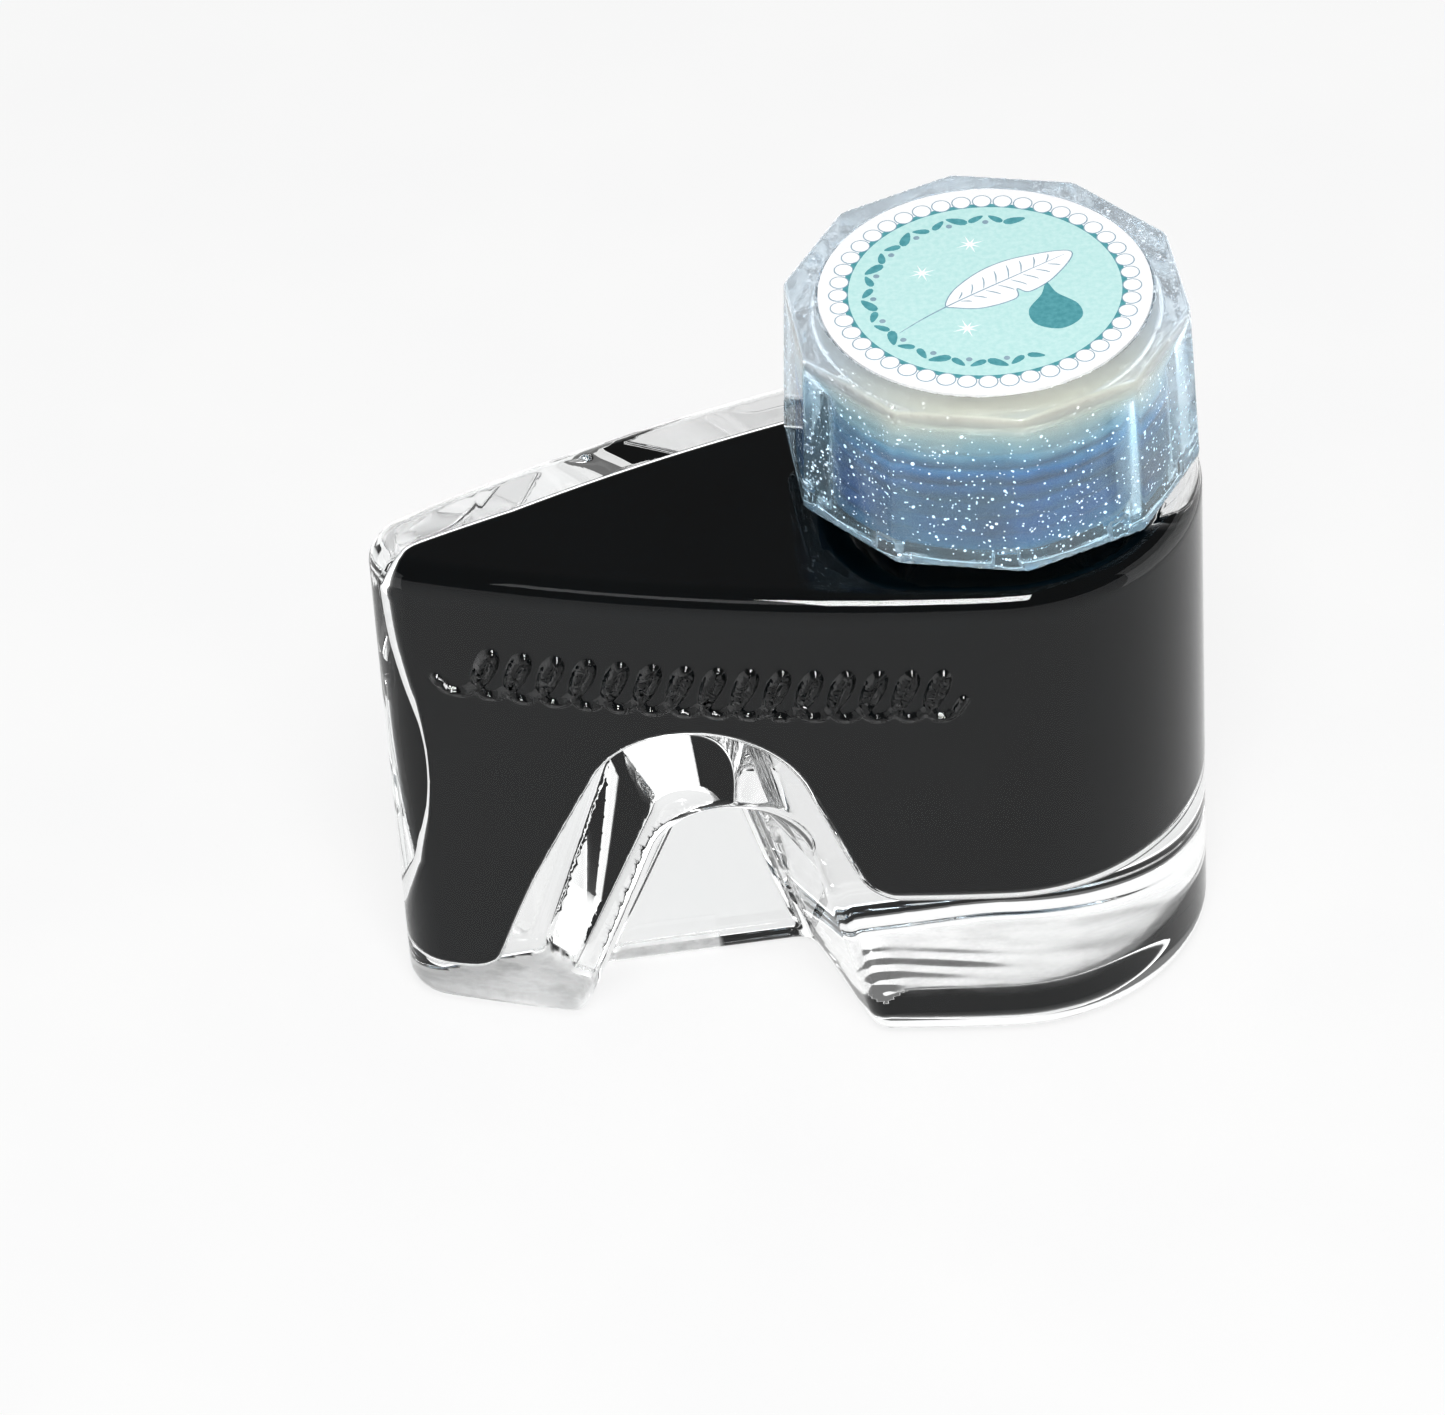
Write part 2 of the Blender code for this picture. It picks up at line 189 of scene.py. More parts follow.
def underside(x, y, z):
    """The hollow under the round foot: a gentle dome, a little uneven in the middle."""
    rise = np.clip((foot_inset(x, y) - DOME_EDGE) / DOME_SLOPE, 0.0, 1.0)
    dome = (DOME_HEIGHT + DOME_MARGIN) * rise * rise * (3.0 - 2.0 * rise) - DOME_MARGIN
    swirl = np.sin(0.45 * x + 0.8 * np.sin(0.5 * y)) * np.sin(0.6 * y + 0.25 * x)
    middle = np.exp(-(((x - 11.0) / 5.0) ** 2 + ((y + 1.0) / 3.0) ** 2))
    ripple = middle * np.sin(1.9 * y + 0.7 * x)
    return 0.95 * (z - dome - 0.012 * swirl - 0.04 * ripple)


def slab(z, low, high):
    """Distance from the layer between two heights."""
    return np.abs(z - (low + high) / 2) - (high - low) / 2


def outside(x, y, z):
    """The bottle's outer surface, with its neck."""
    block = both(plan(x, y), slab(z, 0.0, BODY_HEIGHT), BODY_EDGE_RADIUS)
    block = without(block, niche(x, y, z), NICHE_EDGE)
    block = without(block, underside(x, y, z), 0.28)
    around, turn = cap_polar(x, y)
    neck = both(around - NECK_RADIUS, slab(z, NECK_ROOT, MOUTH_TOP), 0.6)
    thread = ridge(around, turn, z, NECK_RADIUS + 0.1, RIDGE_RADIUS, RIDGE_START, RIDGE_TURNS, 4)
    return either(block, either(neck, thread, 0.35), 1.6)


def hollow(x, y, z):
    """The space for ink under the shoulder. Its wall swells and thins toward the narrow end."""
    under_cap = x > ARCH_X
    floor = np.where(under_cap, ROUND_FLOOR, FOOT_FLOOR)
    toward_tip = np.clip((-22.0 - x) / 8.0, 0.0, 1.0)
    belly = np.exp(-((z - 25.0) / 9.5) ** 2)
    wall = WALL + toward_tip * (1.5 * belly - 0.7 - 0.9 * np.clip((14.0 - z) / 8.0, 0.0, 1.0))
    space = both(plan(x, y) + wall, z - (BODY_HEIGHT - ROOF), 1.6)
    space = both(space, floor - z, np.where(under_cap, 3.5, 1.6))
    return without(space, ink_arch(x, y, z), 2.5)


def inside(x, y, z):
    """All the space in the bottle, with the neck's bore."""
    around, _ = cap_polar(x, y)
    bore = both(around - BORE_RADIUS, BORE_LOW - z, 0.5)
    return either(hollow(x, y, z), bore, 1.5)


def glass(x, y, z):
    """The glass itself."""
    return without(outside(x, y, z), inside(x, y, z), 0.6)


def ink(x, y, z):
    """The ink, a hair into the glass that it wets."""
    return both(inside(x, y, z) - INK_OVERLAP, z - INK_LEVEL, 0.35)


# ---------------------------------------------------------------- raised pen loops on the front wall

LOOP_BASE = 35.6
LOOP_SLANT = 0.36
LOOP_WIDTH = 0.6
LOOP_RISE = 0.62
LOOP_START = -28.4
LOOP_COUNT = 15
LOOP_HEIGHT = 4.6
LOOP_ADVANCE = 2.55
LOOP_STEPS = 24
LOOP_LEFT = -32.0
LOOP_RIGHT = 12.9
LOOP_LOW = 34.2
LOOP_HIGH = 41.6
FRONT_Y = -3.0


def loop_run():
    """Points of one joined run of equal pen loops, as (x, z)."""
    points = [(LOOP_START - 1.6, LOOP_BASE + 1.2), (LOOP_START - 0.9, LOOP_BASE + 0.25)]
    x = LOOP_START
    for _ in range(LOOP_COUNT):
        for step in range(LOOP_STEPS):
            angle = math.tau * step / LOOP_STEPS
            z = LOOP_HEIGHT * (1 - math.cos(angle)) / 2
            along = x + LOOP_ADVANCE * step / LOOP_STEPS + math.sin(angle) + LOOP_SLANT * z
            points.append((along, LOOP_BASE + z))
        x += LOOP_ADVANCE
    points += [(x + 0.5, LOOP_BASE + 0.1), (x + 1.3, LOOP_BASE + 0.7), (x + 1.9, LOOP_BASE + 1.8)]
    return np.array(points)


LOOP_POINTS = loop_run()
SEGMENT_START = LOOP_POINTS[:-1]
SEGMENTS = np.diff(LOOP_POINTS, axis=0)


def near_loops(x, y, z, margin):
    """Which points lie in front, in the loops' rectangle grown by a margin."""
    beside = (x > LOOP_LEFT - margin) & (x < LOOP_RIGHT + margin)
    return beside & (y < FRONT_Y) & (z > LOOP_LOW - margin) & (z < LOOP_HIGH + margin)


def loop_relief(x, y, z):
    """How far the pen loops stand out of the front wall, for flat arrays of points."""
    rise = np.zeros(len(x))
    near = np.nonzero(near_loops(x, y, z, 0.0))[0]
    length = (SEGMENTS ** 2).sum(1)
    chunk = 4096
    for first in range(0, len(near), chunk):
        part = near[first:first + chunk]
        px = x[part][:, None] - SEGMENT_START[:, 0]
        pz = z[part][:, None] - SEGMENT_START[:, 1]
        share = np.clip((px * SEGMENTS[:, 0] + pz * SEGMENTS[:, 1]) / length, 0.0, 1.0)
        gap = np.hypot(px - share * SEGMENTS[:, 0], pz - share * SEGMENTS[:, 1]).min(1)
        rise[part] = LOOP_RISE * 0.5 * (1 + np.cos(math.pi * np.minimum(gap / LOOP_WIDTH, 1.0)))
    return rise


def glass_with_loops(x, y, z):
    """The glass with the loops added, for flat arrays of points."""
    return glass(x, y, z) - loop_relief(x, y, z)


# ---------------------------------------------------------------- threaded insert of the cap

INSERT_RADIUS = 14.55
INSERT_TAPER = 0.045
INSERT_WALL = 1.2
THREAD_ROOT = 12.5
INSERT_BOTTOM = 50.9
INSERT_TOP = 63.3
RING_PITCH = PITCH / 2
RING_DEPTH = 0.16
RINGS_END = 61.5
CUP_RIDGE_RADIUS = 0.75
CUP_RIDGE_TURNS = 1.8


def insert_cup(x, y, z):
    """The threaded cup in the cap, ribbed outside."""
    around, turn = cap_polar(x, y)
    wave = np.cos(math.tau * (z - INSERT_BOTTOM - PITCH * turn) / RING_PITCH)
    fade = np.clip(RINGS_END - z, 0.0, 1.0)
    skin = around - INSERT_RADIUS + INSERT_TAPER * (z - INSERT_BOTTOM) + RING_DEPTH * fade * (1 - wave)
    solid = both(skin * 0.85, slab(z, INSERT_BOTTOM, INSERT_TOP), 0.35)
    cup = without(solid, both(around - THREAD_ROOT, z - (INSERT_TOP - INSERT_WALL), 0.4), 0.25)
    thread = ridge(around, turn, z, THREAD_ROOT - 0.3, CUP_RIDGE_RADIUS, RIDGE_START + PITCH / 2,
                   CUP_RIDGE_TURNS, 3)
    return either(cup, both(thread, around - THREAD_ROOT - 0.6, 0.1), 0.3)


# ---------------------------------------------------------------- clear case of the cap

SIDES = 10
CASE_LOW = 50.3
CASE_HIGH = 65.4
CASE_BOTTOM_RADIUS = 17.15
CASE_TOP_RADIUS = 16.5
CASE_TURN = 0.6
CASE_BORE = 14.9
CASE_BORE_TAPER = 0.045
CASE_BORE_TOP = 63.6
CASE_SHARPNESS = 12.0
LUG_RADIUS = 15.3
LUG_TURN = 0.13
LABEL_Y = 0.5
LABEL_RADIUS = 13.45
LABEL_LOW = 65.12
LABEL_TOP = 65.45


def case_radius(share):
    """Distance from the cap's axis to a corner, at a share of the case's height."""
    return CASE_BOTTOM_RADIUS + (CASE_TOP_RADIUS - CASE_BOTTOM_RADIUS) * share


def cap_case(x, y, z):
    """The ten-sided clear case over the threaded insert, with a recess for the label."""
    px = x - CAP_X
    around, turn = cap_polar(x, y)
    flat = case_radius((z - CASE_LOW) / (CASE_HIGH - CASE_LOW)) * math.cos(math.pi / SIDES)
    total = 0.0
    for side in range(SIDES):
        angle = math.radians(CASE_TURN + 360 / SIDES * side)
        past = px * math.cos(angle) + y * math.sin(angle) - flat
        total = total + np.exp(np.clip(CASE_SHARPNESS * past, -90, 90))
    block = both(np.log(total) / CASE_SHARPNESS, slab(z, CASE_LOW, CASE_HIGH), 0.3)
    bore_radius = CASE_BORE - CASE_BORE_TAPER * (z - CASE_LOW)
    block = without(block, both(around - bore_radius, z - CASE_BORE_TOP, 1.2), 0.4)
    recess = both(np.hypot(px, y - LABEL_Y) - LABEL_RADIUS - 0.1, LABEL_LOW - 0.04 - z, 0.02)
    block = without(block, recess, 0.12)
    lug = np.abs(np.mod(turn * SIDES + LUG_TURN, 1.0) - 0.5) * math.tau * LUG_RADIUS / SIDES - 1.0
    pocket = both(np.maximum(lug, np.abs(around - LUG_RADIUS) - 0.45), z - CASE_LOW - 1.4, 0.2)
    return without(block, pocket, 0.2)


# ---------------------------------------------------------------- meshes from fields

def surface_net(field, low, high, step):
    """Points and quads of a field's zero surface on an even grid."""
    axes = [np.arange(a, b + step, step) for a, b in zip(low, high)]
    value = field(axes[0][:, None, None], axes[1][None, :, None], axes[2][None, None, :])
    solid = value < 0
    count = np.zeros([n - 1 for n in value.shape], np.int8)
    corners = [(a, b, c) for a in (0, 1) for b in (0, 1) for c in (0, 1)]
    sizes = value.shape
    for a, b, c in corners:
        count += solid[a:sizes[0] - 1 + a, b:sizes[1] - 1 + b, c:sizes[2] - 1 + c]
    mixed = (count > 0) & (count < 8)
    cells = np.argwhere(mixed)
    index = np.full(mixed.shape, -1)
    index[mixed] = np.arange(len(cells))
    total = np.zeros((len(cells), 3))
    crossings = np.zeros((len(cells), 1))
    for start in corners:
        for axis in range(3):
            if start[axis]:
                continue
            unit = np.eye(3, dtype=int)[axis]
            one = cells + start
            two = one + unit
            first = value[tuple(one.T)]
            second = value[tuple(two.T)]
            crosses = (first < 0) != (second < 0)
            gap = np.where(crosses, first - second, 1.0)
            place = np.array(start) + unit * (first / gap)[:, None]
            total += place * crosses[:, None]
            crossings += crosses[:, None]
    points = np.array(low) + (cells + total / crossings) * step
    quads = []
    for axis in range(3):
        u = (axis + 1) % 3
        v = (axis + 2) % 3
        first = np.take(solid, range(sizes[axis] - 1), axis)
        second = np.take(solid, range(1, sizes[axis]), axis)
        edges = np.argwhere(first != second)
        whole = np.array([n - 1 for n in sizes])
        keep = (edges[:, u] > 0) & (edges[:, v] > 0) & (edges[:, u] < whole[u]) & (edges[:, v] < whole[v])
        edges = edges[keep]
        rising = first[tuple(edges.T)]
        ring = []
        for du, dv in ((1, 1), (0, 1), (0, 0), (1, 0)):
            cell = edges.copy()
            cell[:, u] -= du
            cell[:, v] -= dv
            ring.append(index[tuple(cell.T)])
        ring = np.stack(ring, 1)
        quads.append(np.where(rising[:, None], ring, ring[:, ::-1]))
    return points, np.concatenate(quads)


def slope(field, points, reach=0.01):
    """The field's gradient at points."""
    x, y, z = points.T
    parts = [field(x + reach, y, z) - field(x - reach, y, z),
             field(x, y + reach, z) - field(x, y - reach, z),
             field(x, y, z + reach) - field(x, y, z - reach)]
    return np.stack(parts, 1) / (2 * reach)


def settle(field, points, rounds=4, most=0.3):
    """Move points onto the field's surface."""
    for _ in range(rounds):
        gradient = slope(field, points)
        value = field(*points.T)
        length = np.maximum((gradient ** 2).sum(1), 0.05)
        step = np.clip(value / length, -most, most)
        points = points - gradient * step[:, None]
    return points


def unit_rows(rows):
    """Rows scaled to length 1."""
    return rows / np.maximum(np.linalg.norm(rows, axis=1), 1e-9)[:, None]


def placed(name, data):
    """A new object in the scene."""
    made = bpy.data.objects.new(name, data)
    bpy.context.scene.collection.objects.link(made)
    return made


def field_mesh(name, points, faces, normals):
    """A smooth mesh object from points in millimetres."""
    mesh = bpy.data.meshes.new(name)
    mesh.from_pydata((points * MM).tolist(), [], [list(face) for face in faces])
    mesh.shade_smooth()
    mesh.normals_split_custom_set_from_vertices(normals.tolist())
    return placed(name, mesh)


def split_faces(points, faces, chosen, cuts):
    """The mesh with its edges cut finer where both ends are chosen."""
    bm = bmesh.new()
    made = [bm.verts.new(point) for point in points.tolist()]
    for face in faces.tolist():
        bm.faces.new([made[corner] for corner in face])
    bm.verts.index_update()
    edges = [edge for edge in bm.edges if chosen[edge.verts[0].index] and chosen[edge.verts[1].index]]
    bmesh.ops.subdivide_edges(bm, edges=edges, cuts=cuts, use_grid_fill=True)
    bm.verts.index_update()
    new_points = np.array([vertex.co[:] for vertex in bm.verts])
    new_faces = [[vertex.index for vertex in face.verts] for face in bm.faces]
    bm.free()
    return new_points, new_faces


# ---------------------------------------------------------------- materials

# How strongly the undersides are stippled, on the round foot and on the narrow one; the narrow foot's
# number is high enough to turn on a painted glow as well
ROUND_STIPPLE = 0.65
NARROW_STIPPLE_AND_GLOW = 2.0


def principled(name, color, roughness, **sockets):
    """A new material, with sockets named by their words joined with underscores."""
    material = bpy.data.materials.new(name)
    material.use_nodes = True
    shader = material.node_tree.nodes["Principled BSDF"]
    shader.inputs["Base Color"].default_value = (*color, 1.0)
    shader.inputs["Roughness"].default_value = roughness
    for socket, value in sockets.items():
        shader.inputs[socket.replace("_", " ")].default_value = value
    return material


def feed(tree, socket, value):
    """Link an output to a socket, or set the socket to a plain value."""
    if isinstance(value, bpy.types.NodeSocket):
        tree.links.new(value, socket)
    else:
        socket.default_value = value


def object_place(tree):
    """The place on the object."""
    return tree.nodes.new("ShaderNodeTexCoord").outputs["Object"]


def split_place(tree, place):
    """A place's X, Y and Z outputs."""
    split = tree.nodes.new("ShaderNodeSeparateXYZ")
    tree.links.new(place, split.inputs[0])
    return split.outputs


def stored(tree, name):
    """A number that the mesh holds at each of its points."""
    attribute = tree.nodes.new("ShaderNodeAttribute")
    attribute.attribute_name = name
    return attribute.outputs["Fac"]


def noise(tree, place, scale, detail):
    """Smooth noise over a place."""
    cloud = tree.nodes.new("ShaderNodeTexNoise")
    cloud.inputs["Scale"].default_value = scale
    cloud.inputs["Detail"].default_value = detail
    tree.links.new(place, cloud.inputs["Vector"])
    return cloud.outputs["Fac"]


def arithmetic(tree, operation, *values):
    """A sum, product or the like of outputs and plain numbers."""
    made = tree.nodes.new("ShaderNodeMath")
    made.operation = operation
    for socket, value in zip(made.inputs, values):
        feed(tree, socket, value)
    return made.outputs["Value"]


def map_range(tree, value, low, high, to_low=0.0, to_high=1.0):
    """A number taken from one range to another, and held inside it."""
    made = tree.nodes.new("ShaderNodeMapRange")
    made.inputs["From Min"].default_value = low
    made.inputs["From Max"].default_value = high
    made.inputs["To Min"].default_value = to_low
    made.inputs["To Max"].default_value = to_high
    tree.links.new(value, made.inputs["Value"])
    return made.outputs["Result"]


def color_ramp(tree, value, stops):
    """The colour for a number, from (position, colour) stops."""
    ramp = tree.nodes.new("ShaderNodeValToRGB")
    elements = ramp.color_ramp.elements
    while len(elements) < len(stops):
        elements.new(0.5)
    for element, (position, color) in zip(elements, stops):
        element.position = position
        element.color = (*color, 1.0)
    tree.links.new(value, ramp.inputs["Fac"])
    return ramp.outputs["Color"]


def mix_colors(tree, share, first, second):
    """A colour from first to second, each of them an output or a plain colour."""
    mix = tree.nodes.new("ShaderNodeMix")
    mix.data_type = "RGBA"
    feed(tree, mix.inputs["Factor"], share)
    feed(tree, mix.inputs["A"], first)
    feed(tree, mix.inputs["B"], second)
    return mix.outputs["Result"]


clear_glass = principled("clear_glass", (0.985, 0.992, 0.992), 0.0, Transmission_Weight=1.0, IOR=1.52)


def mottled(material, first, second, scale, detail=3.0, rough=None):
    """Drift the colour between two close tones, and the roughness between two values."""
    tree = material.node_tree
    shader = tree.nodes["Principled BSDF"]
    cloud = noise(tree, object_place(tree), scale, detail)
    tone = color_ramp(tree, cloud, ((0.36, first), (0.64, second)))
    tree.links.new(tone, shader.inputs["Base Color"])
    if rough:
        finish = map_range(tree, cloud, 0.0, 1.0, *rough)
        tree.links.new(finish, shader.inputs["Roughness"])
    return material


def frosted_underside_with_painted_glow(material):
    """Rough and whitish glass where the mesh is stippled, and a faint painted glow where the stipple is
    strongest, on the narrow foot, standing in for light from the floor under it.
    """
    tree = material.node_tree
    shader = tree.nodes["Principled BSDF"]
    stipple_and_glow = stored(tree, "stipple_and_glow")
    grain = noise(tree, object_place(tree), 380.0, 5.0)
    white = arithmetic(tree, "MULTIPLY", stipple_and_glow, map_range(tree, grain, 0.35, 0.65, 0.12, 0.42))
    clear = arithmetic(tree, "SUBTRACT", 1.0, white)
    rough = arithmetic(tree, "MULTIPLY", stipple_and_glow, 0.16)
    # Painted light: the narrow foot's underside glows a little, though it is no lamp.
    painted_glow = map_range(tree, stipple_and_glow, 0.8, NARROW_STIPPLE_AND_GLOW, 0.0, 0.28)
    tree.links.new(clear, shader.inputs["Transmission Weight"])
    tree.links.new(rough, shader.inputs["Roughness"])
    tree.links.new(painted_glow, shader.inputs["Emission Strength"])


def shaded_loops(material):
    """Painted shade: dims the glass colour toward dark grey on the lower, downward-facing flanks of the
    pen loops.
    """
    tree = material.node_tree
    base = tree.nodes["Principled BSDF"].inputs["Base Color"]
    tone = base.links[0].from_socket
    dimmed = mix_colors(tree, stored(tree, "painted_loop_shade"), tone, (0.12, 0.13, 0.14, 1.0))
    tree.links.new(dimmed, base)


frosted_underside_with_painted_glow(clear_glass)
mottled(clear_glass, (0.980, 0.989, 0.989), (0.990, 0.995, 0.994), 70.0)
shaded_loops(clear_glass)
dark_ink = principled("dark_ink", (0.0008, 0.0022, 0.003), 0.5, Specular_IOR_Level=0.0)


def wet_against_glass(material, relative_ior):
    """The mirror that ink makes behind glass, total at shallow angles."""
    tree = material.node_tree
    body = tree.nodes["Principled BSDF"]
    mirror = tree.nodes.new("ShaderNodeBsdfGlossy")
    mirror.inputs["Roughness"].default_value = 0.0
    mirror.inputs["Color"].default_value = (1.0, 1.0, 1.0, 1.0)
    edge = tree.nodes.new("ShaderNodeFresnel")
    edge.inputs["IOR"].default_value = relative_ior
    mix = tree.nodes.new("ShaderNodeMixShader")
    tree.links.new(map_range(tree, edge.outputs["Fac"], 0.03, 1.0), mix.inputs["Fac"])
    tree.links.new(body.outputs["BSDF"], mix.inputs[1])
    tree.links.new(mirror.outputs["BSDF"], mix.inputs[2])
    tree.links.new(mix.outputs["Shader"], tree.nodes["Material Output"].inputs["Surface"])


wet_against_glass(dark_ink, 0.86)
mottled(dark_ink, (0.0005, 0.0016, 0.0024), (0.0012, 0.003, 0.0042), 90.0, 4.0, (0.4, 0.6))
cap_plastic = principled("cap_plastic", (0.80, 0.89, 0.96), 0.07, Transmission_Weight=0.8, IOR=1.49)


def milky_toward_top(material):
    """Cloudy patches in the clear plastic, a milkier top, and cream at the front of its rim."""
    tree = material.node_tree
    shader = tree.nodes["Principled BSDF"]
    place = object_place(tree)
    parts = split_place(tree, place)
    cloud = noise(tree, place, 180.0, 3.0)
    clear = map_range(tree, parts["Z"], 62.8 * MM, 65.2 * MM, 0.89, 0.5)
    patchy = arithmetic(tree, "MULTIPLY_ADD", cloud, 0.2, clear)
    tree.links.new(arithmetic(tree, "SUBTRACT", patchy, 0.1), shader.inputs["Transmission Weight"])
    tint = color_ramp(tree, cloud, ((0.3, (0.53, 0.77, 0.90)), (0.7, (0.74, 0.86, 0.93))))
    front_share = map_range(tree, parts["Y"], -6.0 * MM, -14.0 * MM)
    rim_tint = mix_colors(tree, front_share, (0.76, 0.82, 0.87, 1.0), (0.87, 0.87, 0.79, 1.0))
    top_share = map_range(tree, parts["Z"], 61.5 * MM, 65.0 * MM)
    tree.links.new(mix_colors(tree, top_share, tint, rim_tint), shader.inputs["Base Color"])


milky_toward_top(cap_plastic)
insert_plastic = principled("insert_plastic", (0.25, 0.47, 0.72), 0.3)
liner_foam = principled("liner_foam", (0.86, 0.88, 0.82), 0.6)


def pored(material):
    """Closed pores of foam, as small dents in height, with painted shade darkening the colour in each
    dent.
    """
    tree = material.node_tree
    shader = tree.nodes["Principled BSDF"]
    cells = tree.nodes.new("ShaderNodeTexVoronoi")
    cells.inputs["Scale"].default_value = 2600.0
    tree.links.new(object_place(tree), cells.inputs["Vector"])
    # Painted shade: darker colour toward the bottom of each pore.
    tone = color_ramp(tree, cells.outputs["Distance"],
                      ((0.0, (0.68, 0.71, 0.66)), (0.35, (0.90, 0.91, 0.86))))
    bump = tree.nodes.new("ShaderNodeBump")
    bump.inputs["Strength"].default_value = 0.4
    bump.inputs["Distance"].default_value = 0.0001
    tree.links.new(cells.outputs["Distance"], bump.inputs["Height"])
    tree.links.new(tone, shader.inputs["Base Color"])
    tree.links.new(bump.outputs["Normal"], shader.inputs["Normal"])


pored(liner_foam)


# ---------------------------------------------------------------- bottle and ink

LOW = (-35.2, -18.1, -0.9)
HIGH = (35.2, 18.1, 61.4)
points, quads = surface_net(glass, LOW, HIGH, GLASS_STEP)
points = settle(glass, points)
front = near_loops(*points.T, 0.0) & (np.abs(outside(*points.T)) < 0.1)
points, faces = split_faces(points, quads, front, 2)
front = near_loops(*points.T, 0.5) & (np.abs(outside(*points.T)) < 0.12)
normals = slope(glass, points)
points[front] = settle(glass_with_loops, points[front], 3)
normals[front] = slope(glass_with_loops, points[front])
bottle = field_mesh("bottle_glass", points, faces, unit_rows(normals))
bottle.data.materials.append(clear_glass)
x, y, z = points.T
up_share = normals[:, 2]
round_foot = ROUND_STIPPLE * np.clip((foot_inset(x, y) - DOME_SLOPE - 1.0) / 2.0, 0.0, 1.0)
# The narrow foot's high stipple also sets the painted glow in the glass material.
stipple_and_glow = np.where(x > ARCH_X, round_foot, NARROW_STIPPLE_AND_GLOW)
stipple_and_glow *= (z < 1.5) & (up_share < -0.5) & (plan(x, y) < -1.2)
bottle.data.attributes.new("stipple_and_glow", "FLOAT", "POINT").data.foreach_set("value", stipple_and_glow)
# Painted shade on the loops' flanks that face down, fading out on the flanks that face up.
painted_loop_shade = np.clip((0.3 - up_share) * 2.5, 0.0, 1.0) * (loop_relief(x, y, z) > 0.04)
bottle.data.attributes.new("painted_loop_shade", "FLOAT", "POINT").data.foreach_set("value", painted_loop_shade)
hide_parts("glass_bottle")
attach(bottle, "bottle")

points, quads = surface_net(ink, LOW, HIGH, INK_STEP)
points = settle(ink, points)
fill = field_mesh("ink_fill", points, quads, unit_rows(slope(ink, points)))
fill.data.materials.append(dark_ink)
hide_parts("ink")
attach(fill, "bottle")


# ---------------------------------------------------------------- cap

INSERT_TONES = ((0.0, (0.10, 0.36, 0.54)),
                (0.18, (0.04, 0.17, 0.46)),
                (0.45, (0.02, 0.17, 0.54)),
                (0.62, (0.04, 0.35, 0.75)),
                (0.70, (0.28, 0.62, 0.82)),
                (0.79, (0.90, 0.95, 0.88)),
                (1.0, (0.96, 0.96, 0.84)))
BAND_STRENGTH = ((0.2, (0.0, 0.0, 0.0)),
                 (0.48, (0.95, 0.95, 0.95)),
                 (0.74, (0.65, 0.65, 0.65)),
                 (0.8, (0.04, 0.04, 0.04)))


def by_height(material, stops, low, high):
    """Colour by height from (share, colour) stops, with darker bands and dark patches lower down."""
    tree = material.node_tree
    place = object_place(tree)
    share = map_range(tree, split_place(tree, place)["Z"], low * MM, high * MM)
    squash = tree.nodes.new("ShaderNodeMapping")
    squash.inputs["Scale"].default_value = (1.0, 1.0, 4.0)
    tree.links.new(place, squash.inputs["Vector"])
    cloud = noise(tree, squash.outputs["Vector"], 150.0, 4.0)
    wavy = arithmetic(tree, "MULTIPLY_ADD", cloud, 0.22, share)
    level = arithmetic(tree, "SUBTRACT", wavy, 0.11)
    tone = color_ramp(tree, level, stops)
    bands = tree.nodes.new("ShaderNodeTexWave")
    bands.bands_direction = "Z"
    bands.wave_profile = "SIN"
    bands.inputs["Scale"].default_value = 198.0
    bands.inputs["Distortion"].default_value = 3.0
    bands.inputs["Detail"].default_value = 3.0
    bands.inputs["Detail Scale"].default_value = 0.6
    tree.links.new(place, bands.inputs["Vector"])
    strength = color_ramp(tree, level, BAND_STRENGTH)
    dark = arithmetic(tree, "MULTIPLY", bands.outputs["Fac"], strength)
    banded = mix_colors(tree, dark, tone, (0.01, 0.05, 0.16, 1.0))
    dark_patch_noise = map_range(tree, noise(tree, place, 75.0, 2.0), 0.42, 0.58, 0.0, 0.85)
    dark_patch_share = arithmetic(tree, "MULTIPLY", dark_patch_noise, map_range(tree, level, 0.62, 0.40))
    with_dark_patches = mix_colors(tree, dark_patch_share, banded, (0.01, 0.035, 0.09, 1.0))
    tree.links.new(with_dark_patches, tree.nodes["Principled BSDF"].inputs["Base Color"])


case_low = (CAP_X - 17.7, -17.7, 49.8)
case_high = (CAP_X + 17.7, 17.7, 66.0)
points, quads = surface_net(cap_case, case_low, case_high, CAP_STEP)
points = settle(cap_case, points)
case = field_mesh("cap_case", points, quads, unit_rows(slope(cap_case, points, 0.004)))
case.data.materials.append(cap_plastic)
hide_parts("cap_shell")
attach(case, "cap")

cup_low = (CAP_X - 15.1, -15.1, 50.3)
cup_high = (CAP_X + 15.1, 15.1, 64.0)
points, quads = surface_net(insert_cup, cup_low, cup_high, CAP_STEP)
points = settle(insert_cup, points)
cup = field_mesh("threaded_insert", points, quads, unit_rows(slope(insert_cup, points)))
by_height(insert_plastic, INSERT_TONES, INSERT_BOTTOM, INSERT_TOP)
cup.data.materials.append(insert_plastic)
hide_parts("cap_insert")
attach(cup, "cap")

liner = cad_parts["sealing_liner"]
liner.data.materials.clear()
liner.data.materials.append(liner_foam)

random = np.random.default_rng(31)


